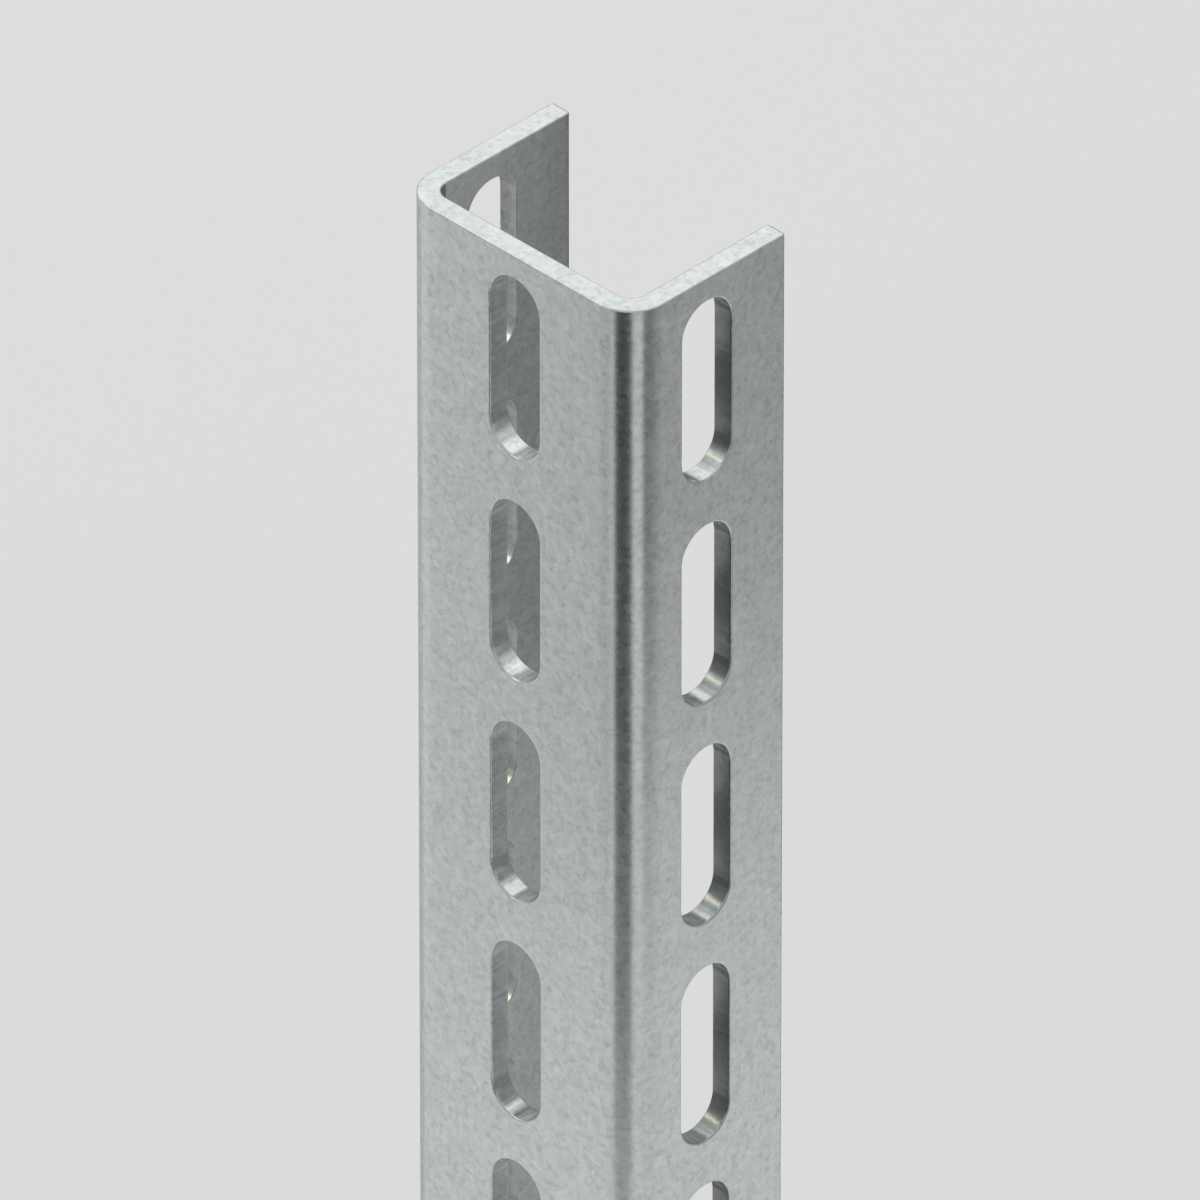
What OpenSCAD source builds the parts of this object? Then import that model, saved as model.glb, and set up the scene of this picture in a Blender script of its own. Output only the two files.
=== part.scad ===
// Slotted strut channel: one length of galvanised steel strip, bent to a plain U with
// round bends and punched with a row of long slots in its web and in each flange.
// It stands on a square-cut end. X runs across the web, Y from the web's outer face
// towards the flange tips, and Z along the length. The origin is the middle of the
// rectangle that the lower end fills.

/* [Section] */
// Width over both flanges
channel_width = 60; // [40:1:120]
// Depth from the web's outer face to the flange tips
channel_depth = 40; // [32:1:80]
// Thickness of the strip
wall = 4.5; // [2:0.1:6]
// Inside radius of the two bends
bend_radius = 3.6; // [1:0.2:7]
// Rounding of the strip's edges at the flange tips
tip_radius = 0.5; // [0.2:0.1:0.9]

/* [Length] */
// Length of the channel as it is cut
channel_length = 500; // [100:10:3000]

/* [Slots] */
// Width of a slot
slot_width = 12.7; // [8:0.1:18]
// Length of a slot over its round ends
slot_length = 39.7; // [20:0.1:45]
// Distance from the centre of one slot to the next
slot_pitch = 50; // [46:1:100]
// Least metal between an end of the channel and the slot next to it
end_margin = 5; // [3:0.5:60]
// Distance from the web's outer face to the centre line of the flange slots
flange_slot_line = 19.8; // [16:0.2:28]
// Bevel that the punched rim of a slot has on both faces of the strip
rim_bevel = 0.3; // [0.1:0.1:0.8]

/* [Hidden] */
$fn = 64;

// Outside radius of the bends
bend_outer = bend_radius + wall;
// Radius of a slot's round ends
slot_radius = slot_width / 2;
// Length of a slot's straight sides
slot_straight = slot_length - slot_width;
// Metal left between two slots of a row
bridge = slot_pitch - slot_length;
// Keeps a whole number of slots from being rounded down
count_slack = 0.001;
// Number of slots in a row
slot_count = floor((channel_length - 2 * end_margin + bridge) / slot_pitch + count_slack);
// Height of the lowest slot's centre, with the row in the middle of the length
lowest_slot = (channel_length - (slot_count - 1) * slot_pitch) / 2;
// Place of the web's outer face
web_face = -channel_depth / 2;
// How far a cut runs past the metal
past = 1;
// Colour of the zinc coat
zinc = [0.66, 0.68, 0.69];

// A rectangle that stands on y = 0, with its two lower corners rounded
module bent_outline(width, depth, radius) {
    translate([-width / 2, radius])
        square([width, depth - radius]);
    translate([radius - width / 2, 0])
        square([width - 2 * radius, depth]);
    for (side = [-1, 1])
        translate([side * (width / 2 - radius), radius])
            circle(r = radius);
}

// What the rounding takes off a corner: the rounding's centre is at the origin
// and the corner points along +X and +Y
module corner_waste(radius) {
    difference() {
        square(radius + past);
        circle(r = radius);
    }
}

// Cross-section of the bent strip, with the web's outer face on y = 0
module section() {
    inside_width = channel_width - 2 * wall;
    difference() {
        bent_outline(channel_width, channel_depth, bend_outer);
        translate([0, wall])
            bent_outline(inside_width, channel_depth, bend_radius);
        for (side = [0, 1])
            mirror([side, 0]) {
                translate([channel_width / 2 - tip_radius, channel_depth - tip_radius])
                    corner_waste(tip_radius);
                translate([inside_width / 2 + tip_radius, channel_depth - tip_radius])
                    mirror([1, 0])
                        corner_waste(tip_radius);
            }
    }
}

// A round-ended prism along Z that opens from one size to another along its depth,
// which is Y here: from_radius at depth 0 and to_radius at the full depth
module slot_prism(depth, from_radius, to_radius) {
    for (end = [-1, 1])
        translate([0, 0, end * slot_straight / 2])
            rotate([-90, 0, 0])
                cylinder(h = depth, r1 = from_radius, r2 = to_radius);
    linear_extrude(height = slot_straight, center = true)
        polygon([
            [-from_radius, 0],
            [from_radius, 0],
            [to_radius, depth],
            [-to_radius, depth]
        ]);
}

// The punch for one slot, with the middle of the strip at y = 0: the slot itself,
// and the bevelled rim on each face
module slot_cut() {
    reach = wall / 2 + past;
    translate([0, -reach, 0])
        slot_prism(2 * reach, slot_radius, slot_radius);
    for (face = [0, 1])
        mirror([0, face, 0])
            translate([0, wall / 2 - rim_bevel, 0])
                slot_prism(rim_bevel + past, slot_radius, slot_radius + rim_bevel + past);
}

// A row of slots up the length
module slot_row() {
    for (i = [0 : slot_count - 1])
        translate([0, 0, lowest_slot + i * slot_pitch])
            slot_cut();
}

// The whole length of channel
module channel() {
    color(zinc)
        difference() {
            translate([0, web_face, 0])
                linear_extrude(height = channel_length)
                    section();
            translate([0, web_face + wall / 2, 0])
                slot_row();
            for (side = [-1, 1])
                translate([side * (channel_width - wall) / 2, web_face + flange_slot_line, 0])
                    rotate([0, 0, 90])
                        slot_row();
        }
}

channel();
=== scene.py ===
"""A slotted strut channel of galvanised steel, upright on a pale studio floor.

The channel is one surface worked out with numpy in millimetres: the bends and the flange
tips are the section carried up the length, the flats are rings of faces round each slot,
and both cut ends are flat faces with an eased edge. Sizes of the whole come from the frame.
"""

import logging
import math
from dataclasses import dataclass, field
from enum import Enum

import bpy
import numpy as np
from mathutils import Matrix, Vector


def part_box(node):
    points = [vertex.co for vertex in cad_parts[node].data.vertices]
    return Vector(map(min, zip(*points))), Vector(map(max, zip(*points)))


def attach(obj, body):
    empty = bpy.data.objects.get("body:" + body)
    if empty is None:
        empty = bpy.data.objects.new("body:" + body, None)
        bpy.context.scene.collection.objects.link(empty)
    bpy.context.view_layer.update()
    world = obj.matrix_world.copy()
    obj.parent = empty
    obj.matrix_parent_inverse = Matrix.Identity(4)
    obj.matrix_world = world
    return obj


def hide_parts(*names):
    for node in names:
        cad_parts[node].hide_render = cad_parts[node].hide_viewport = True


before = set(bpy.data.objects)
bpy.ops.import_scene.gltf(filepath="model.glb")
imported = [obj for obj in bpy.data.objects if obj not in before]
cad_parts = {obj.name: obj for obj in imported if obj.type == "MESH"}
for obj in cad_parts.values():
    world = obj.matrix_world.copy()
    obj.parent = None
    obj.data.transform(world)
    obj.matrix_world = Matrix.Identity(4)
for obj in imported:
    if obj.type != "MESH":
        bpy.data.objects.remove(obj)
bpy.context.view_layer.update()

MM = 0.001
# Points that are closer than this, in millimetres, are one point
WELD_STEP = 0.0001
# The part of a noise's shift that goes to each axis
SHIFT_SHARES = (1.0, 0.7, 0.3)
log = logging.getLogger("strut_channel")


class Skin(Enum):
    """The two faces of the strip: the outside of the U and the inside of the trough."""

    OUTSIDE = 1
    INSIDE = -1


class Flat(Enum):
    """The three flat faces of the channel that carry a row of slots."""

    LEFT_FLANGE = "left_flange"
    WEB = "web"
    RIGHT_FLANGE = "right_flange"


class Mark(Enum):
    """What the mesh tells the finish about each point."""

    PUNCHED = "punched"
    # How far a slot wall faces up: where it does, the finish paints light as from above over the painted
    # shade.
    LIT_LOWER_END = "lit_lower_end"


class Layer(Enum):
    """The noises in the zinc, and how far each is shifted in metres, so that no two line up."""

    GRAIN = 0.0
    TINT = 0.37
    CLOUD = 2.3
    SHEAR = 3.3
    GATE = 4.1
    SWELL = 5.2
    ROLLED = 7.7


@dataclass(frozen=True)
class Patch:
    """A piece of surface: its points in millimetres, its four-sided faces, and for each
    point its marks, from 0 to 1: how far it is on a punched wall, and how far the wall
    faces up, where the finish paints it lighter as if lit from above.
    """

    points: np.ndarray
    quads: np.ndarray
    marks: np.ndarray


def grid_quads(rows: int, columns: int, closed: bool = False) -> np.ndarray:
    """Faces of a grid whose points are numbered row by row.

    Face (r, c) has the corners (r, c), (r, c+1), (r+1, c+1) and (r+1, c).

    Args:
        rows: Number of rows of points.
        columns: Number of points in a row.
        closed: Whether the last column joins the first.

    Returns:
        An array of shape (faces, 4) with point numbers.
    """
    spans = columns if closed else columns - 1
    row, column = np.meshgrid(np.arange(rows - 1), np.arange(spans), indexing="ij")
    after = (column + 1) % columns
    corners = [
        row * columns + column,
        row * columns + after,
        (row + 1) * columns + after,
        (row + 1) * columns + column,
    ]
    return np.stack(corners, axis=-1).reshape(-1, 4)


def join(patches: list[Patch]) -> Patch:
    """Puts patches together and merges the points that they share.

    Points that agree to a ten-thousandth of a millimetre become one point.

    Args:
        patches: The pieces of surface.

    Returns:
        One patch with shared points merged.
    """
    starts = np.cumsum([0] + [len(patch.points) for patch in patches[:-1]])
    points = np.concatenate([patch.points for patch in patches])
    quads = np.concatenate([patch.quads + start for patch, start in zip(patches, starts)])
    keys = np.round(points / WELD_STEP).astype(np.int64)
    _, first, renumbered = np.unique(keys, axis=0, return_index=True, return_inverse=True)
    marks = np.concatenate([patch.marks for patch in patches])
    return Patch(points[first], renumbered.reshape(-1)[quads], marks[first])


@dataclass(frozen=True)
class Section:
    """The bent strip seen from its end, in millimetres.

    The strip is described by stations from the left flange tip, round the web, to the
    right flange tip. At each station the outside and the inside of the strip are half
    the wall to either side of its middle line.
    """

    width: float
    depth: float
    wall: float = 4.5
    bend_radius: float = 3.6
    tip_radius: float = 0.5
    guard: float = 0.12
    bend_steps: int = 20
    tip_steps: int = 4
    flat_steps: int = 20

    @property
    def bend_outer(self) -> float:
        """Outside radius of the bends."""
        return self.bend_radius + self.wall

    @property
    def web_reach(self) -> float:
        """Half the width of the flat part of the web."""
        return self.width / 2 - self.bend_outer - self.guard

    @property
    def flange_foot(self) -> float:
        """Y where the flat part of a flange starts, next to the bend."""
        return -self.depth / 2 + self.bend_outer + self.guard

    @property
    def flange_top(self) -> float:
        """Y where the flat part of a flange ends, next to the tip."""
        return self.depth / 2 - self.tip_radius - self.guard

    def web_across(self) -> np.ndarray:
        """X of the stations on the flat part of the web, from left to right."""
        return np.linspace(-self.web_reach, self.web_reach, self.flat_steps + 1)

    def flange_across(self) -> np.ndarray:
        """Y of the stations on the flat part of a flange, from the bend to the tip."""
        return np.linspace(self.flange_foot, self.flange_top, self.flat_steps + 1)

    def right_half(self, skin: Skin) -> tuple[np.ndarray, np.ndarray]:
        """Stations from the right end of the flat web to the right flange tip.

        The bend is a quarter circle about one centre: a point is the centre plus the
        radius times (sin a, -cos a) with a from 0 to 90 degrees. The tip's corner is a
        quarter circle too, and its normal turns from square to the flange to +Y.

        Args:
            skin: Which face of the strip.

        Returns:
            Points and unit normals, each of shape (stations, 2).
        """
        side = skin.value
        half = self.wall / 2
        web_middle = -self.depth / 2 + half
        flange_middle = self.width / 2 - half
        centre = np.array([self.width / 2 - self.bend_outer, -self.depth / 2 + self.bend_outer])

        turn = np.linspace(0, math.pi / 2, self.bend_steps + 1)
        away = np.stack([np.sin(turn), -np.cos(turn)], axis=-1)
        radius = self.bend_outer - half + side * half
        bend = centre + radius * away

        across = self.flange_across()
        flange_x = flange_middle + side * half
        flange = np.stack([np.full_like(across, flange_x), across], axis=-1)

        lean = np.linspace(0, math.pi / 2, self.tip_steps + 1)
        tip_x = flange_middle + side * (half - self.tip_radius * (1 - np.cos(lean)))
        tip_y = self.depth / 2 - self.tip_radius * (1 - np.sin(lean))
        tip = np.stack([tip_x, tip_y], axis=-1)
        tip_end_x = flange_middle + side * (half - self.tip_radius - self.guard)

        points = np.concatenate(
            [[[self.web_reach, web_middle - side * half]], bend, flange, tip, [[tip_end_x, self.depth / 2]]]
        )
        tip_normals = np.stack([side * np.cos(lean), np.sin(lean)], axis=-1)
        normals = np.concatenate(
            [[[0, -side]], side * away, np.tile([side, 0], (len(across), 1)), tip_normals, [[0, 1]]]
        )
        return points, normals

    def skin_line(self, skin: Skin) -> tuple[np.ndarray, np.ndarray]:
        """All stations of one face of the strip, from the left tip to the right tip.

        Args:
            skin: Which face of the strip.

        Returns:
            Points and unit normals, each of shape (stations, 2).
        """
        points, normals = self.right_half(skin)
        mirror = np.array([-1, 1])
        inner_x = self.web_across()[1:-1]
        web_y = -self.depth / 2 + self.wall / 2 * (1 - skin.value)
        web = np.stack([inner_x, np.full_like(inner_x, web_y)], axis=-1)
        web_normals = np.tile([0, -skin.value], (len(inner_x), 1))
        return (
            np.concatenate([points[::-1] * mirror, web, points]),
            np.concatenate([normals[::-1] * mirror, web_normals, normals]),
        )

    def flat_spans(self) -> dict[Flat, slice]:
        """Which stretches between stations belong to the flats.

        A tip and a bend each have their own steps and two short stretches beside them.

        Returns:
            For each flat, the numbers of its stretches, counted from the left tip.
        """
        tip_count = self.tip_steps + 2
        left = slice(tip_count, tip_count + self.flat_steps)
        bend_count = self.bend_steps + 2
        web_start = left.stop + bend_count
        web = slice(web_start, web_start + self.flat_steps)
        right_start = web.stop + bend_count
        right = slice(right_start, right_start + self.flat_steps)
        return {Flat.LEFT_FLANGE: left, Flat.WEB: web, Flat.RIGHT_FLANGE: right}

    def outline(self) -> tuple[np.ndarray, np.ndarray, np.ndarray]:
        """The closed outline: the outside from left to right, then the inside back.

        Returns:
            Points, unit normals, and for each stretch whether it lies on a flat.
        """
        outside, outside_normals = self.skin_line(Skin.OUTSIDE)
        inside, inside_normals = self.skin_line(Skin.INSIDE)
        count = len(outside)
        on_flat = np.zeros(2 * count, bool)
        for span in self.flat_spans().values():
            on_flat[span] = True
            on_flat[2 * count - 1 - span.stop : 2 * count - 1 - span.start] = True
        return (
            np.concatenate([outside, inside[::-1]]),
            np.concatenate([outside_normals, inside_normals[::-1]]),
            on_flat,
        )


@dataclass(frozen=True)
class SlotRow:
    """A row of round-ended slots up the length, in millimetres."""

    width: float = 12.7
    length: float = 39.7
    pitch: float = 50.0
    flange_line: float = 19.8
    outer_rim: float = 0.36
    inner_rim: float = 0.14
    rim_steps: int = 4
    end_steps: int = 24
    side_steps: int = 12
    corner_step: int = 2
    # How far a wall must face up to be painted lighter, as if lit from above.
    lit_slope: float = 2.0
    lit_offset: float = 0.4

    def count(self, channel_length: float) -> int:
        """How many slots fit on a channel of this length, at one for each pitch."""
        return round(channel_length / self.pitch)

    def contour(self) -> tuple[np.ndarray, np.ndarray]:
        """The slot's outline about its own centre, anticlockwise.

        Two half circles joined by straight sides: the lower half circle runs from 180 to
        360 degrees, the upper one from 0 to 180, each about its own centre. The start is
        moved on a little, so that it faces the lower left corner of the metal round it.

        Returns:
            Points and unit normals into the metal, each of shape (points, 2).
        """
        radius = self.width / 2
        straight = self.length - self.width
        lower = np.linspace(math.pi, 2 * math.pi, self.end_steps + 1)
        upper = lower - math.pi
        climb = np.linspace(-0.5, 0.5, self.side_steps + 1)[1:-1] * straight
        lower_normal = np.stack([np.cos(lower), np.sin(lower)], axis=-1)
        upper_normal = np.stack([np.cos(upper), np.sin(upper)], axis=-1)
        drop = np.array([0, straight / 2])
        right = np.stack([np.full_like(climb, radius), climb], axis=-1)
        points = np.concatenate(
            [lower_normal * radius - drop, right, upper_normal * radius + drop, right[::-1] * [-1, 1]]
        )
        sideways = np.tile([1.0, 0.0], (len(climb), 1))
        normals = np.concatenate([lower_normal, sideways, upper_normal, -sideways])
        return np.roll(points, -self.corner_step, axis=0), np.roll(normals, -self.corner_step, axis=0)

    def lit_lower_end(self) -> np.ndarray:
        """How much painted light, as from above, each point of the outline gets.

        It is the slope times how far the wall faces up, less the offset, held between 0
        and 1. The wall faces up where the normal into the metal points down.

        Returns:
            A share for each point.
        """
        _, normals = self.contour()
        return np.clip(-self.lit_slope * normals[:, 1] - self.lit_offset, 0, 1)

    def rim_profile(self, wall: float, guard: float) -> tuple[np.ndarray, np.ndarray]:
        """The way across the slot's edge, from the outside face through to the inside.

        Each rim is a quarter circle of the rim's radius r: at angle a it stands
        r(1 - sin a) back from the slot and r(1 - cos a) below the face. The outer one is
        larger, as the punch goes in there and leaves a sharper edge where it comes out.

        Args:
            wall: Thickness of the strip.
            guard: Width of the narrow flat stretch that keeps the faces flat.

        Returns:
            How far each point stands back from the slot, and its height above the
            middle of the strip.
        """
        angle = np.linspace(0, math.pi / 2, self.rim_steps + 1)
        radius = np.array([[self.outer_rim], [self.inner_rim]])
        back = np.concatenate([radius + guard, radius * (1 - np.sin(angle)), radius * 0], axis=1)
        below = np.concatenate([radius * 0, radius * (1 - np.cos(angle)), radius + guard], axis=1)
        height = wall / 2 - below
        return np.concatenate([back[0], back[1, ::-1]]), np.concatenate([height[0], -height[1, ::-1]])


class NodeBoard:
    """Short ways to add and join shader nodes."""

    def __init__(self, tree: bpy.types.NodeTree) -> None:
        """Keeps the tree that nodes are added to."""
        self.tree = tree

    def add(self, kind: str, **values: float) -> bpy.types.Node:
        """Adds a node and sets its unlinked sockets by name.

        Args:
            kind: The node's type name.
            **values: Socket names, with spaces as underscores, and their values.

        Returns:
            The new node.
        """
        node = self.tree.nodes.new(kind)
        for name, value in values.items():
            node.inputs[name.replace("_", " ")].default_value = value
        return node

    def link(self, source: bpy.types.NodeSocket, target: bpy.types.NodeSocket) -> None:
        """Joins two sockets."""
        self.tree.links.new(source, target)

    def feed(self, socket: bpy.types.NodeSocket, value: bpy.types.NodeSocket | float) -> None:
        """Links a socket to another, or sets it where the value is a plain one.

        Args:
            socket: The input that is fed.
            value: An output to link, or a number.
        """
        if isinstance(value, bpy.types.NodeSocket):
            self.link(value, socket)
        else:
            socket.default_value = value

    def noise(
        self,
        place: bpy.types.NodeSocket,
        size: float,
        layer: Layer,
        detail: float = 1.0,
        roughness: float = 0.5,
    ) -> bpy.types.NodeSocket:
        """Noise whose lumps have about this size in millimetres.

        Args:
            place: Coordinates on the object.
            size: Size of a lump in millimetres.
            layer: Which noise of the finish it is, which sets its shift.
            detail: Octaves of finer noise.
            roughness: Strength of the finer octaves.

        Returns:
            The noise value, about 0.5 on average.
        """
        shift = self.add("ShaderNodeMapping")
        shift.inputs["Location"].default_value = [layer.value * share for share in SHIFT_SHARES]
        self.link(place, shift.inputs["Vector"])
        node = self.add("ShaderNodeTexNoise", Scale=1 / (size * MM), Detail=detail, Roughness=roughness)
        self.link(shift.outputs["Vector"], node.inputs["Vector"])
        return node.outputs["Fac"]

    def cells(
        self, place: bpy.types.NodeSocket, size: float, feature: str, output: str
    ) -> bpy.types.NodeSocket:
        """Irregular cells of about this size in millimetres.

        Args:
            place: Coordinates on the object.
            size: Size of a cell in millimetres.
            feature: What is worked out, as the texture node names it.
            output: The output that is wanted.

        Returns:
            The chosen output.
        """
        node = self.add("ShaderNodeTexVoronoi")
        node.feature = feature
        node.inputs["Scale"].default_value = 1 / (size * MM)
        self.link(place, node.inputs["Vector"])
        return node.outputs[output]

    def warp(self, place: bpy.types.NodeSocket, size: float, reach: float) -> bpy.types.NodeSocket:
        """Coordinates moved about by noise: place + reach * (noise - 0.5), axis by axis.

        Args:
            place: Coordinates on the object.
            size: Size of the noise's lumps in millimetres.
            reach: How far a place moves, in millimetres.

        Returns:
            The moved coordinates.
        """
        node = self.add("ShaderNodeTexNoise", Scale=1 / (size * MM), Detail=1.0, Roughness=0.5)
        self.link(place, node.inputs["Vector"])
        moved = self.add("ShaderNodeVectorMath")
        moved.operation = "MULTIPLY_ADD"
        self.link(node.outputs["Color"], moved.inputs[0])
        moved.inputs[1].default_value = (reach * MM,) * 3
        self.link(place, moved.inputs[2])
        return moved.outputs["Vector"]

    def mark(self, mark: Mark) -> bpy.types.NodeSocket:
        """What the mesh says of a point.

        Args:
            mark: Which of its marks.

        Returns:
            The mark, from 0 to 1.
        """
        node = self.add("ShaderNodeAttribute")
        node.attribute_name = mark.value
        return node.outputs["Fac"]

    def stretch(
        self, place: bpy.types.NodeSocket, shares: tuple[float, float, float]
    ) -> bpy.types.NodeSocket:
        """Coordinates times a share on each axis: a pattern draws out where the share is small.

        Args:
            place: Coordinates on the object.
            shares: The share for each axis.

        Returns:
            The changed coordinates.
        """
        node = self.add("ShaderNodeVectorMath")
        node.operation = "MULTIPLY"
        self.link(place, node.inputs[0])
        node.inputs[1].default_value = shares
        return node.outputs["Vector"]

    def ramp(
        self, value: bpy.types.NodeSocket, low: float, high: float, at_low: float, at_high: float
    ) -> bpy.types.NodeSocket:
        """Maps a value from one range to another, held at both ends.

        Args:
            value: What is mapped.
            low: Value that gives at_low.
            high: Value that gives at_high.
            at_low: Result at and below low.
            at_high: Result at and above high.

        Returns:
            The mapped value.
        """
        node = self.add("ShaderNodeMapRange")
        self.link(value, node.inputs["Value"])
        limits = {"From Min": low, "From Max": high, "To Min": at_low, "To Max": at_high}
        for name, number in limits.items():
            node.inputs[name].default_value = number
        return node.outputs["Result"]

    def math(
        self,
        operation: str,
        first: bpy.types.NodeSocket | float,
        second: bpy.types.NodeSocket | float,
    ) -> bpy.types.NodeSocket:
        """A sum on two values.

        Args:
            operation: The sum, as the node names it.
            first: A socket or a number.
            second: A socket or a number.

        Returns:
            The result.
        """
        node = self.add("ShaderNodeMath")
        node.operation = operation
        self.feed(node.inputs[0], first)
        self.feed(node.inputs[1], second)
        return node.outputs["Value"]

    def mix(
        self,
        share: bpy.types.NodeSocket,
        first: tuple[float, float, float],
        second: tuple[float, float, float],
    ) -> bpy.types.NodeSocket:
        """A colour between two colours.

        Args:
            share: How far towards the second colour, from 0 to 1.
            first: The colour at 0.
            second: The colour at 1.

        Returns:
            The mixed colour.
        """
        node = self.add("ShaderNodeMix")
        node.data_type = "RGBA"
        self.link(share, node.inputs["Factor"])
        colours = [socket for socket in node.inputs if socket.type == "RGBA"]
        colours[0].default_value = (*first, 1.0)
        colours[1].default_value = (*second, 1.0)
        return next(socket for socket in node.outputs if socket.type == "RGBA")

    def scale(self, colour: bpy.types.NodeSocket, share: bpy.types.NodeSocket) -> bpy.types.NodeSocket:
        """A colour times a number.

        Args:
            colour: The colour.
            share: The number.

        Returns:
            The changed colour.
        """
        node = self.add("ShaderNodeVectorMath")
        node.operation = "SCALE"
        self.link(colour, node.inputs[0])
        self.link(share, node.inputs["Scale"])
        return node.outputs["Vector"]


@dataclass(frozen=True)
class ZincCoat:
    """Hot-dip zinc: a matt grey metal of small soft crystals, with short dark seams.

    Patterns are functions of the place on the object, so they stay put on it. Sizes are
    in millimetres, and each share is how far a pattern moves the brightness at most. A
    span is the stretch of a pattern's values over which its effect goes from end to end.
    """

    colour: tuple[float, float, float] = (0.70, 0.744, 0.733)
    warm_tint: tuple[float, float, float] = (1.012, 0.999, 0.993)
    cool_tint: tuple[float, float, float] = (0.988, 1.001, 1.008)
    tint_size: float = 2.72
    tint_span: tuple[float, float] = (0.35, 0.65)
    roughness: float = 0.28
    roughness_swing: float = 0.012
    pattern_span: tuple[float, float] = (0.25, 0.75)
    crystal_span: tuple[float, float] = (0.2, 0.8)
    crystal_size: float = 1.7
    crystal_share: float = 0.038
    crystal_warp: float = 1.2
    seam_width: float = 0.42
    seam_share: float = 0.15
    gate_size: float = 1.53
    gate_span: tuple[float, float] = (0.5, 0.62)
    grain_size: float = 1.3
    grain_share: float = 0.066
    cloud_size: float = 6.0
    cloud_share: float = 0.04
    rolled_size: float = 1.0
    rolled_stretch: float = 0.1
    rolled_share: float = 0.026
    relief: float = 0.0015
    shear_size: float = 0.6
    shear_stretch: float = 0.05
    shear_share: float = 0.14
    # Painted shade on the flanges' slot walls: their brightness falls to the first share, and where a wall
    # faces up, painted light as from above lifts it to the second.
    flange_painted_shade: float = 0.41
    lit_lower_end_brightness: float = 0.95
    punched_polish: float = 0.06
    flange_inside: float = 20.0

    def material(self) -> bpy.types.Material:
        """Builds the finish.

        Returns:
            The material, made of nodes on Object coordinates.
        """
        made = bpy.data.materials.new("galvanised_zinc")
        made.use_nodes = True
        board = NodeBoard(made.node_tree)
        place = board.add("ShaderNodeTexCoord").outputs["Object"]
        shader = made.node_tree.nodes["Principled BSDF"]
        shader.inputs["Metallic"].default_value = 1.0

        bent = board.warp(place, self.crystal_size, self.crystal_warp)
        crystal = board.cells(bent, self.crystal_size, "F1", "Color")
        grain = board.noise(place, self.grain_size, Layer.GRAIN)
        cloud = board.noise(place, self.cloud_size, Layer.CLOUD, detail=3.0, roughness=0.6)
        lengthways = board.stretch(place, (1.0, 1.0, self.rolled_stretch))
        rolled = board.noise(lengthways, self.rolled_size, Layer.ROLLED)
        seams = self.seams(board, bent, place)
        brightness = board.math("MULTIPLY", seams, self.wall_lines_and_painted_shade(board, place))
        for value, share in (
            (crystal, self.crystal_share),
            (grain, self.grain_share),
            (cloud, self.cloud_share),
            (rolled, self.rolled_share),
        ):
            brightness = board.math("MULTIPLY", brightness, self.swing(board, value, share))

        tint = board.noise(place, self.tint_size, Layer.TINT, detail=2.0)
        warm = tuple(part * change for part, change in zip(self.colour, self.warm_tint))
        cool = tuple(part * change for part, change in zip(self.colour, self.cool_tint))
        hue = board.mix(board.ramp(tint, *self.tint_span, 0.0, 1.0), cool, warm)
        board.link(board.scale(hue, brightness), shader.inputs["Base Color"])

        smooth, matt = self.roughness - self.roughness_swing, self.roughness + self.roughness_swing
        rough = board.ramp(crystal, *self.crystal_span, smooth, matt)
        polish = board.math("MULTIPLY", board.mark(Mark.PUNCHED), self.punched_polish)
        board.link(board.math("SUBTRACT", rough, polish), shader.inputs["Roughness"])

        swell = board.noise(place, self.crystal_size, Layer.SWELL, detail=2.0)
        bump = board.add("ShaderNodeBump", Strength=1.0, Distance=self.relief * MM)
        board.link(swell, bump.inputs["Height"])
        board.link(bump.outputs["Normal"], shader.inputs["Normal"])
        return made

    def swing(
        self, board: NodeBoard, value: bpy.types.NodeSocket, share: float
    ) -> bpy.types.NodeSocket:
        """A brightness about 1 that follows a pattern, up and down by the share."""
        return board.ramp(value, *self.pattern_span, 1.0 - share, 1.0 + share)

    def seams(
        self, board: NodeBoard, bent: bpy.types.NodeSocket, place: bpy.types.NodeSocket
    ) -> bpy.types.NodeSocket:
        """Short dark hooks: the borders of the crystals, where a wider noise lets them show.

        Args:
            board: Where the nodes go.
            bent: The warped coordinates that the crystals use.
            place: Coordinates on the object.

        Returns:
            A brightness, 1 on bare zinc and less on a seam.
        """
        border = board.cells(bent, self.crystal_size, "DISTANCE_TO_EDGE", "Distance")
        seam = board.ramp(border, 0.0, self.seam_width / self.crystal_size, 1.0, 0.0)
        gate = board.noise(place, self.gate_size, Layer.GATE)
        shown = board.math("MULTIPLY", seam, board.ramp(gate, *self.gate_span, 0.0, 1.0))
        return board.ramp(shown, 0.0, 1.0, 1.0, 1.0 - self.seam_share)

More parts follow.
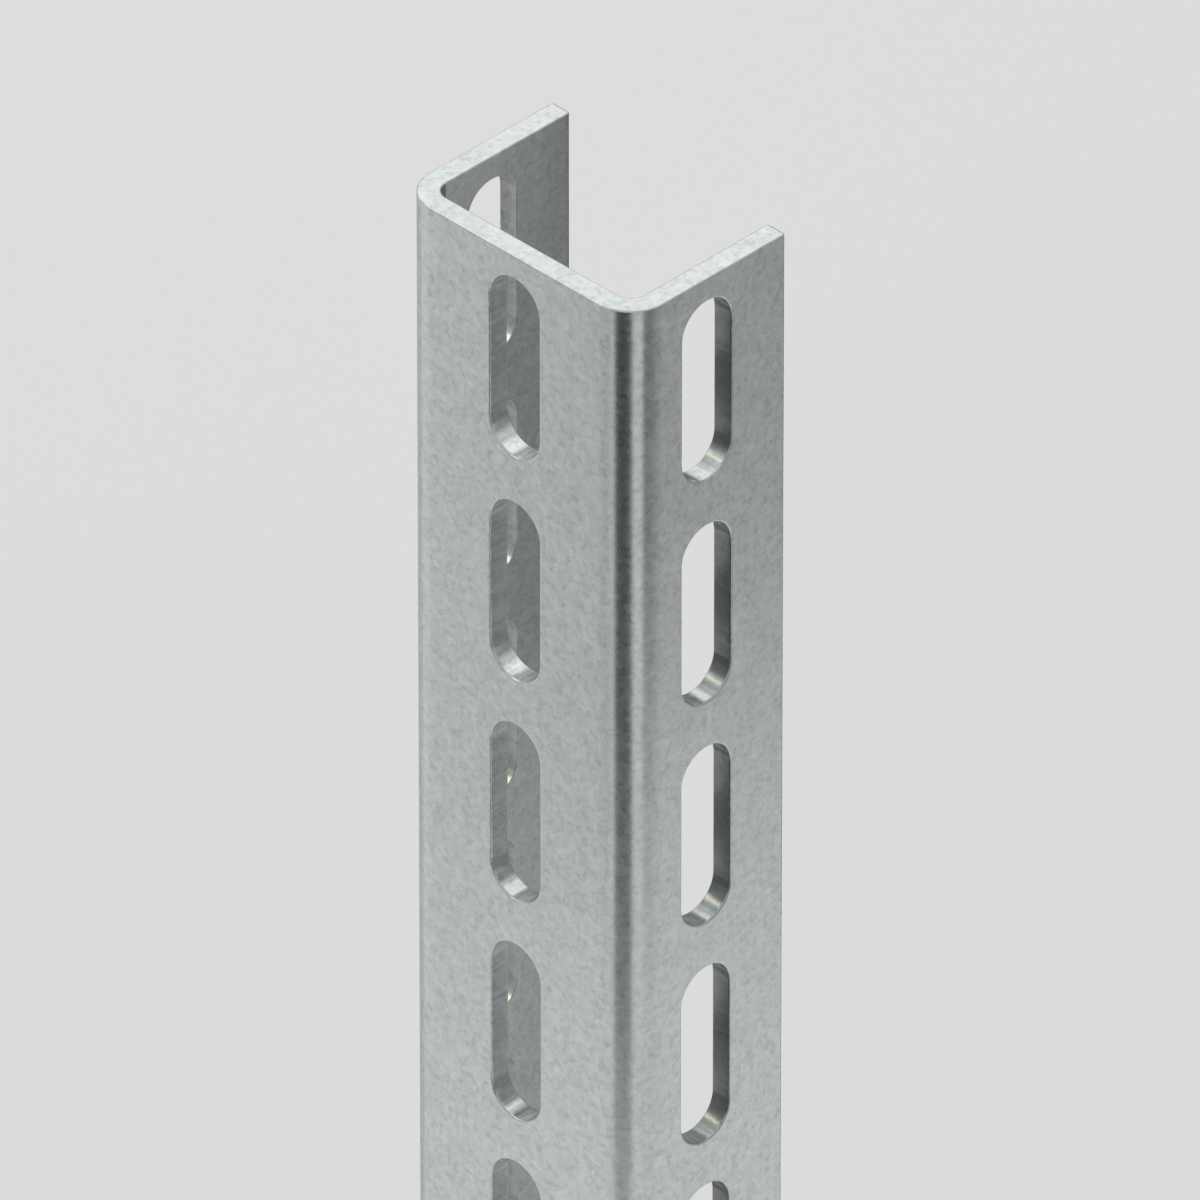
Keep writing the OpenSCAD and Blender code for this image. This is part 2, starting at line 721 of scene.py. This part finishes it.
    def wall_lines_and_painted_shade(
        self, board: NodeBoard, place: bpy.types.NodeSocket
    ) -> bpy.types.NodeSocket:
        """The walls of the slots: fine shear lines, and painted shade on the walls in the flanges.

        The lines are noise that hardly changes through the strip, which is along Y in the
        web and along X in the flanges. A wall is in a flange where its X is beyond
        flange_inside. There the wall is darkened with painted shade, and where it faces up,
        in a slot's lower end, painted light as from above brings it nearly back.

        Args:
            board: Where the nodes go.
            place: Coordinates on the object.

        Returns:
            A brightness, 1 away from the slots and less on their walls.
        """
        parts = board.add("ShaderNodeSeparateXYZ")
        board.link(place, parts.inputs["Vector"])
        aside = board.math("ABSOLUTE", parts.outputs["X"], 0.0)
        flange = board.math("GREATER_THAN", aside, self.flange_inside * MM)
        web = board.math("SUBTRACT", 1.0, flange)
        through_web = board.stretch(place, (1.0, self.shear_stretch, 1.0))
        through_flange = board.stretch(place, (self.shear_stretch, 1.0, 1.0))
        in_web = board.math("MULTIPLY", board.noise(through_web, self.shear_size, Layer.SHEAR), web)
        in_flange = board.math(
            "MULTIPLY", board.noise(through_flange, self.shear_size, Layer.SHEAR), flange
        )
        lines = board.math("ADD", in_web, in_flange)
        # Painted shade on the flanges' slot walls, lighter where they face up as if lit from above; the
        # web's walls are not shaded.
        lit_lower_end = board.ramp(board.mark(Mark.LIT_LOWER_END), 0.0, 1.0, self.flange_painted_shade, self.lit_lower_end_brightness)
        painted_wall_shade = board.math("ADD", web, board.math("MULTIPLY", lit_lower_end, flange))
        lines_and_painted_shade = board.math("MULTIPLY", self.swing(board, lines, self.shear_share), painted_wall_shade)
        less = board.math("MULTIPLY", board.math("SUBTRACT", lines_and_painted_shade, 1.0), board.mark(Mark.PUNCHED))
        return board.math("ADD", less, 1.0)


@dataclass(frozen=True)
class FloorPaint:
    """A matt pale grey, which far off falls to the background's grey, so no edge shows.

    The near and far distances are in metres, from the channel's foot.
    """

    colour: tuple[float, float, float] = (0.74, 0.74, 0.735)
    far_share: float = 0.86
    near: float = 3.0
    far: float = 14.0
    roughness: float = 0.85
    specular: float = 0.2

    def material(self) -> bpy.types.Material:
        """Builds the paint: its colour falls evenly from the near distance to the far one.

        Returns:
            The material.
        """
        made = bpy.data.materials.new("floor_paint")
        made.use_nodes = True
        board = NodeBoard(made.node_tree)
        shader = made.node_tree.nodes["Principled BSDF"]
        reach = board.add("ShaderNodeVectorMath")
        reach.operation = "LENGTH"
        board.link(board.add("ShaderNodeTexCoord").outputs["Object"], reach.inputs[0])
        share = board.ramp(reach.outputs["Value"], self.near, self.far, 0.0, 1.0)
        distant = tuple(part * self.far_share for part in self.colour)
        board.link(board.mix(share, self.colour, distant), shader.inputs["Base Color"])
        shader.inputs["Roughness"].default_value = self.roughness
        shader.inputs["Specular IOR Level"].default_value = self.specular
        return made


@dataclass(frozen=True)
class CardPaint:
    """A glow of one colour on a card. Its strength, 0 for black, is read from the card's points."""

    colour: tuple[float, float, float] = (1.0, 1.0, 1.0)
    attribute: str = "glow"

    def material(self) -> bpy.types.Material:
        """Builds the finish.

        Returns:
            The material.
        """
        made = bpy.data.materials.new("card")
        made.use_nodes = True
        tree = made.node_tree
        tree.nodes.remove(tree.nodes["Principled BSDF"])
        board = NodeBoard(tree)
        glow = board.add("ShaderNodeEmission")
        tone = board.add("ShaderNodeAttribute")
        tone.attribute_name = self.attribute
        glow.inputs["Color"].default_value = (*self.colour, 1.0)
        board.link(tone.outputs["Fac"], glow.inputs["Strength"])
        board.link(glow.outputs["Emission"], tree.nodes["Material Output"].inputs["Surface"])
        return made


@dataclass
class Channel:
    """The whole length of channel: bends, tips, slotted flats and eased cut ends."""

    section: Section
    slots: SlotRow
    length: float
    end_radius: float = 0.35
    end_steps: int = 4
    coat: ZincCoat = field(default_factory=ZincCoat)
    name: str = "slotted_channel"
    node: str = "channel"
    slot_name: str = "galvanised_steel"

    def levels(self) -> np.ndarray:
        """Heights of the rows of points, even but for the first and last, by the cut ends.

        Returns:
            The heights, from the lower end up.
        """
        rows = self.slots.count(self.length) * self.rows_each()
        heights = np.linspace(0, self.length, rows + 1)
        inset = self.end_radius + self.section.guard
        heights[0], heights[-1] = inset, self.length - inset
        return heights

    def rows_each(self) -> int:
        """Rows of faces beside one slot: what the slot's outline leaves for two sides."""
        around = 2 * (self.slots.end_steps + self.slots.side_steps)
        return around // 2 - self.section.flat_steps

    def swept(self) -> Patch:
        """Bends and tips: the outline carried straight up, without its flats.

        A point is (x, y) of the outline at each height.

        Returns:
            The patch.
        """
        points, _, on_flat = self.section.outline()
        heights = self.levels()
        count, rows = len(points), len(heights)
        grid = np.empty((rows, count, 3))
        grid[..., :2] = points
        grid[..., 2] = heights[:, None]
        quads = grid_quads(rows, count, closed=True).reshape(rows - 1, count, 4)
        return Patch(grid.reshape(-1, 3), quads[:, ~on_flat].reshape(-1, 4), np.zeros((rows * count, 2)))

    def frame_loops(self, across: np.ndarray) -> np.ndarray:
        """The rectangle of metal round each slot, anticlockwise from its lower left corner.

        Args:
            across: Places of the points along the lower edge.

        Returns:
            Loops of shape (slots, points, 2): along the lower edge, up, back and down.
        """
        heights = self.levels()
        each = self.rows_each()
        slots = self.slots.count(self.length)
        steps = np.arange(slots)[:, None] * each + np.arange(each + 1)
        side = heights[steps]
        along = np.broadcast_to(across, (slots, len(across)))
        low = np.broadcast_to(side[:, :1], along.shape)
        high = np.broadcast_to(side[:, -1:], along.shape)
        left = np.broadcast_to(along[:, :1], side.shape)
        right = np.broadcast_to(along[:, -1:], side.shape)
        edges = [
            np.stack([along, low], -1)[:, :-1],
            np.stack([right, side], -1)[:, :-1],
            np.stack([along, high], -1)[:, :0:-1],
            np.stack([left, side], -1)[:, :0:-1],
        ]
        return np.concatenate(edges, axis=1)

    def slotted_flat(self, flat: Flat) -> Patch:
        """One flat with its row of slots: a ring of faces round each slot, on both faces
        of the strip and through the slot between them.

        The ring starts at the rectangle of metal on the outside, goes in to the slot,
        round the rim, through the strip, round the other rim and back out on the inside.
        A point is punched as far as it lies below the face, up to the outer rim's radius,
        and it is marked for painted light where the wall faces up, in the slot's lower end.

        Args:
            flat: Which flat.

        Returns:
            The patch.
        """
        section, slots = self.section, self.slots
        flange_centre = -section.depth / 2 + slots.flange_line
        if flat is Flat.WEB:
            across, centre = section.web_across(), 0.0
            origin, along, out = (0, -section.depth / 2 + section.wall / 2), (1, 0), (0, -1)
        else:
            side = 1 if flat is Flat.RIGHT_FLANGE else -1
            across = np.sort(side * section.flange_across())
            centre = side * flange_centre
            origin, along, out = (side * (section.width - section.wall) / 2, 0), (0, side), (side, 0)

        contour, normal = slots.contour()
        back, height = slots.rim_profile(section.wall, section.guard)
        ring = contour + back[:, None, None] * normal
        pitch_rows = (np.arange(slots.count(self.length)) + 0.5) * slots.pitch
        centres = np.stack([np.full_like(pitch_rows, centre), pitch_rows], -1)
        rings = centres[:, None, None, :] + ring
        frames = self.frame_loops(across)[:, None]
        flat_points = np.concatenate([frames, rings, frames], axis=1)
        lift = np.concatenate([[section.wall / 2], height, [-section.wall / 2]])

        count, rows, around, _ = flat_points.shape
        points = np.empty((count, rows, around, 3))
        points[..., :2] = (
            np.array(origin)
            + flat_points[..., :1] * np.array(along)
            + lift[None, :, None, None] * np.array(out)
        )
        points[..., 2] = flat_points[..., 1]
        one = grid_quads(rows, around, closed=True)
        starts = np.arange(count) * rows * around
        depth = np.clip((section.wall / 2 - np.abs(lift)) / slots.outer_rim, 0, 1)
        marks = np.empty((count, rows, around, 2))
        marks[..., 0] = depth[:, None]
        # The second mark: painted light as from above where a slot wall faces up.
        marks[..., 1] = depth[:, None] * slots.lit_lower_end()
        quads = (one + starts[:, None, None]).reshape(-1, 4)
        return Patch(points.reshape(-1, 3), quads, marks.reshape(-1, 2))

    def cut_end(self, top: bool) -> Patch:
        """A cut end: the eased edge all round the outline, and the flat face inside it.

        The edge is a quarter circle of radius r: at angle a it stands r(1 - cos a) in
        from the outline and r(1 - sin a) from the end.

        Args:
            top: Whether it is the upper end.

        Returns:
            The patch.
        """
        points, normals, _ = self.section.outline()
        guard, radius = self.section.guard, self.end_radius
        angle = np.linspace(0, math.pi / 2, self.end_steps + 1)
        inward = np.concatenate([[0], radius * (1 - np.cos(angle)), [radius + guard]])
        from_end = np.concatenate([[radius + guard], radius * (1 - np.sin(angle)), [0]])
        height = self.length - from_end if top else from_end
        count, rows = len(points), len(inward)
        grid = np.empty((rows, count, 3))
        grid[..., :2] = points - inward[:, None, None] * normals
        grid[..., 2] = height[:, None]
        edge = grid_quads(rows, count, closed=True)

        station = np.arange(count // 2 - 1)
        last = (rows - 1) * count
        face = last + np.stack([station, station + 1, count - 2 - station, count - 1 - station], -1)
        quads = np.concatenate([edge, face])
        return Patch(grid.reshape(-1, 3), quads if top else quads[:, ::-1], np.zeros((rows * count, 2)))

    def surface(self) -> Patch:
        """The whole closed surface.

        Returns:
            The bends, tips, flats and cut ends in one patch.
        """
        patches = [self.swept(), self.cut_end(top=False), self.cut_end(top=True)]
        patches += [self.slotted_flat(flat) for flat in Flat]
        return join(patches)

    def build(self) -> bpy.types.Object:
        """Makes the mesh object in metres, smooth shaded, and dresses it.

        Returns:
            The object, with its place in its mesh.
        """
        surface = self.surface()
        mesh = bpy.data.meshes.new(self.name)
        mesh.from_pydata((surface.points * MM).tolist(), [], surface.quads.tolist())
        mesh.polygons.foreach_set("use_smooth", np.ones(len(mesh.polygons), bool))
        for mark, values in zip(Mark, surface.marks.T.astype(np.float32)):
            mesh.attributes.new(mark.value, "FLOAT", "POINT").data.foreach_set("value", values)
        mesh.update()
        made = bpy.data.objects.new(self.name, mesh)
        bpy.context.scene.collection.objects.link(made)
        mesh.materials.append(self.coat.material())
        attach(made, "root")
        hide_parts(self.node)
        log.info("%s: %d points, %d faces", self.name, len(surface.points), len(surface.quads))
        return made


def direction(azimuth: float, elevation: float) -> Vector:
    """Unit vector at an angle round from +X towards +Y and an angle above the floor.

    Args:
        azimuth: Degrees from +X towards +Y.
        elevation: Degrees above the floor.

    Returns:
        The unit vector.
    """
    turn, rise = math.radians(azimuth), math.radians(elevation)
    return Vector((math.cos(turn) * math.cos(rise), math.sin(turn) * math.cos(rise), math.sin(rise)))


@dataclass(frozen=True)
class Softbox:
    """A soft rectangular lamp, placed by its direction from the channel, in metres."""

    name: str
    azimuth: float
    elevation: float
    distance: float
    width: float
    height: float
    brightness: float
    aim: tuple[float, float, float] = (0.0, 0.0, 0.3)

    def build(self) -> bpy.types.Object:
        """Makes the lamp. Its power is its brightness times pi times its area.

        Returns:
            The lamp object.
        """
        lamp = bpy.data.lights.new(self.name, "AREA")
        lamp.shape = "RECTANGLE"
        lamp.size, lamp.size_y = self.width, self.height
        lamp.energy = self.brightness * math.pi * self.width * self.height
        made = bpy.data.objects.new(self.name, lamp)
        bpy.context.scene.collection.objects.link(made)
        away = direction(self.azimuth, self.elevation)
        made.location = Vector(self.aim) + away * self.distance
        made.rotation_euler = away.to_track_quat("Z", "Y").to_euler()
        made.visible_camera = False
        log.info("%s lamp in place", self.name)
        return made


@dataclass(frozen=True)
class Flag:
    """A curved upright card round the channel, which only its reflections show, in metres.

    It stands on an arc about the channel's axis, from one angle to another in degrees, and
    between two heights. Its glow runs evenly from the start of the arc to its end. A black
    or grey one gives the metal something darker to mirror than the floor or the backdrop,
    and a bright one gives it a glint.
    """

    name: str
    arc: tuple[float, float]
    distance: float
    heights: tuple[float, float]
    glow: tuple[float, float] = (0.0, 0.0)
    paint: CardPaint = field(default_factory=CardPaint)
    steps: int = 16

    def build(self) -> bpy.types.Object:
        """Makes the card: distance times (cos a, sin a) at its lower and upper height.

        Returns:
            The card, seen by mirrored rays alone.
        """
        angle = np.radians(np.linspace(*self.arc, self.steps + 1))
        grid = np.empty((2, len(angle), 3))
        grid[..., 0] = self.distance * np.cos(angle)
        grid[..., 1] = self.distance * np.sin(angle)
        grid[..., 2] = np.array(self.heights)[:, None]
        mesh = bpy.data.meshes.new(self.name)
        mesh.from_pydata(grid.reshape(-1, 3).tolist(), [], grid_quads(2, len(angle)).tolist())
        glow = np.tile(np.linspace(*self.glow, len(angle)), 2).astype(np.float32)
        mesh.attributes.new(self.paint.attribute, "FLOAT", "POINT").data.foreach_set("value", glow)
        mesh.materials.append(self.paint.material())
        made = bpy.data.objects.new(self.name, mesh)
        bpy.context.scene.collection.objects.link(made)
        made.visible_camera = False
        made.visible_diffuse = False
        made.visible_shadow = False
        made.visible_transmission = False
        made.visible_volume_scatter = False
        log.info("%s in place", self.name)
        return made


@dataclass(frozen=True)
class Studio:
    """Pale floor, soft light and the camera at the photograph's viewing angle."""

    floor_size: float = 80.0
    world_strength: float = 0.84
    background: float = 0.55
    lens: float = 1000.0
    sensor: float = 36.0
    view_width: float = 0.2210
    camera_azimuth: float = -45.13
    camera_elevation: float = 35.35
    look_height: float = 0.4130
    look_aside: float = 0.00154
    clip_reach: float = 4.0

    def build(self) -> None:
        """Makes everything round the object."""
        self.floor()
        self.lamps()
        self.flags()
        self.world()
        self.camera()

    def floor(self) -> None:
        """The floor at the channel's foot."""
        half = self.floor_size / 2
        corners = [(-half, -half, 0), (half, -half, 0), (half, half, 0), (-half, half, 0)]
        mesh = bpy.data.meshes.new("floor")
        mesh.from_pydata(corners, [], [(0, 1, 2, 3)])
        mesh.materials.append(FloorPaint().material())
        made = bpy.data.objects.new("floor", mesh)
        bpy.context.scene.collection.objects.link(made)

    def lamps(self) -> None:
        """The soft lamps: one behind the channel, one high over its back, one overhead."""
        Softbox(
            "back_lamp", azimuth=155, elevation=42, distance=1.9, width=2.0, height=1.2, brightness=0.535
        ).build()
        Softbox(
            "high_lamp", azimuth=88, elevation=58, distance=1.9, width=1.2, height=0.7, brightness=0.5
        ).build()
        Softbox(
            "top_lamp", azimuth=0, elevation=90, distance=1.2, width=1.3, height=1.3, brightness=0.15
        ).build()

    def flags(self) -> None:
        """The cards: before the bend and the web, beside each flange, in and behind the
        trough, and a warm one high up, which the far slots' lower ends mirror.
        """
        warm = CardPaint(colour=(1.0, 0.89, 0.68))
        Flag("front_flag", arc=(276, 319), distance=0.47, heights=(0.0, 0.42)).build()
        Flag("web_flag", arc=(228, 266), distance=0.3, heights=(0.16, 0.5), glow=(0.45, 0.45)).build()
        Flag("side_flag", arc=(346, 420), distance=0.47, heights=(0.09, 0.42), glow=(0.0, 0.47)).build()
        Flag("back_flag", arc=(59, 148), distance=0.13, heights=(0.0, 0.5), glow=(0.03, 0.32)).build()
        Flag("far_flag", arc=(148, 195), distance=0.13, heights=(0.0, 0.5), glow=(0.5, 0.5)).build()
        Flag("trough_flag", arc=(50, 115), distance=0.07, heights=(0.315, 0.42), glow=(0.19, 0.3)).build()
        Flag("low_flag", arc=(50, 115), distance=0.07, heights=(0.0, 0.315), glow=(0.34, 0.34)).build()
        Flag(
            "warm_card", arc=(207, 243), distance=2.5, heights=(1.75, 3.2), glow=(2.3, 2.3), paint=warm
        ).build()

    def world(self) -> None:
        """Even light from all round, with a pale background for camera and gloss."""
        world = bpy.data.worlds.new("studio")
        bpy.context.scene.world = world
        world.use_nodes = True
        board = NodeBoard(world.node_tree)
        background = world.node_tree.nodes["Background"]
        background.inputs["Color"].default_value = (1.0, 1.0, 1.0, 1.0)
        path = board.add("ShaderNodeLightPath")
        seen = board.math("MAXIMUM", path.outputs["Is Camera Ray"], path.outputs["Is Transmission Ray"])
        seen = board.math("MAXIMUM", seen, path.outputs["Is Glossy Ray"])
        strength = board.ramp(seen, 0.0, 1.0, self.world_strength, self.background)
        board.link(strength, background.inputs["Strength"])

    def camera(self) -> None:
        """A camera far away with a long lens, which draws nearly without perspective.

        A longer lens would stand so far off that views from other sides cut the floor off,
        and a parallel one would crop them.
        """
        lens = bpy.data.cameras.new("camera")
        lens.lens = self.lens
        lens.sensor_width = self.sensor
        away = direction(self.camera_azimuth, self.camera_elevation)
        aside = direction(self.camera_azimuth + 90, 0) * self.look_aside
        target = Vector((0, 0, self.look_height)) + aside
        distance = self.view_width * self.lens / self.sensor
        made = bpy.data.objects.new("camera", lens)
        bpy.context.scene.collection.objects.link(made)
        made.location = target + away * distance
        made.rotation_euler = away.to_track_quat("Z", "Y").to_euler()
        lens.clip_end = self.clip_reach * distance
        bpy.context.scene.camera = made
        bpy.context.scene.view_settings.view_transform = "Standard"


def main() -> None:
    """Builds the channel from the frame's sizes, then the studio round it."""
    logging.basicConfig(level=logging.INFO, format="%(message)s")
    low, high = (np.array(corner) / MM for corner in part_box("channel"))
    width, depth, length = high - low
    Channel(Section(width, depth), SlotRow(), length).build()
    Studio().build()


if __name__ == "__main__":
    main()
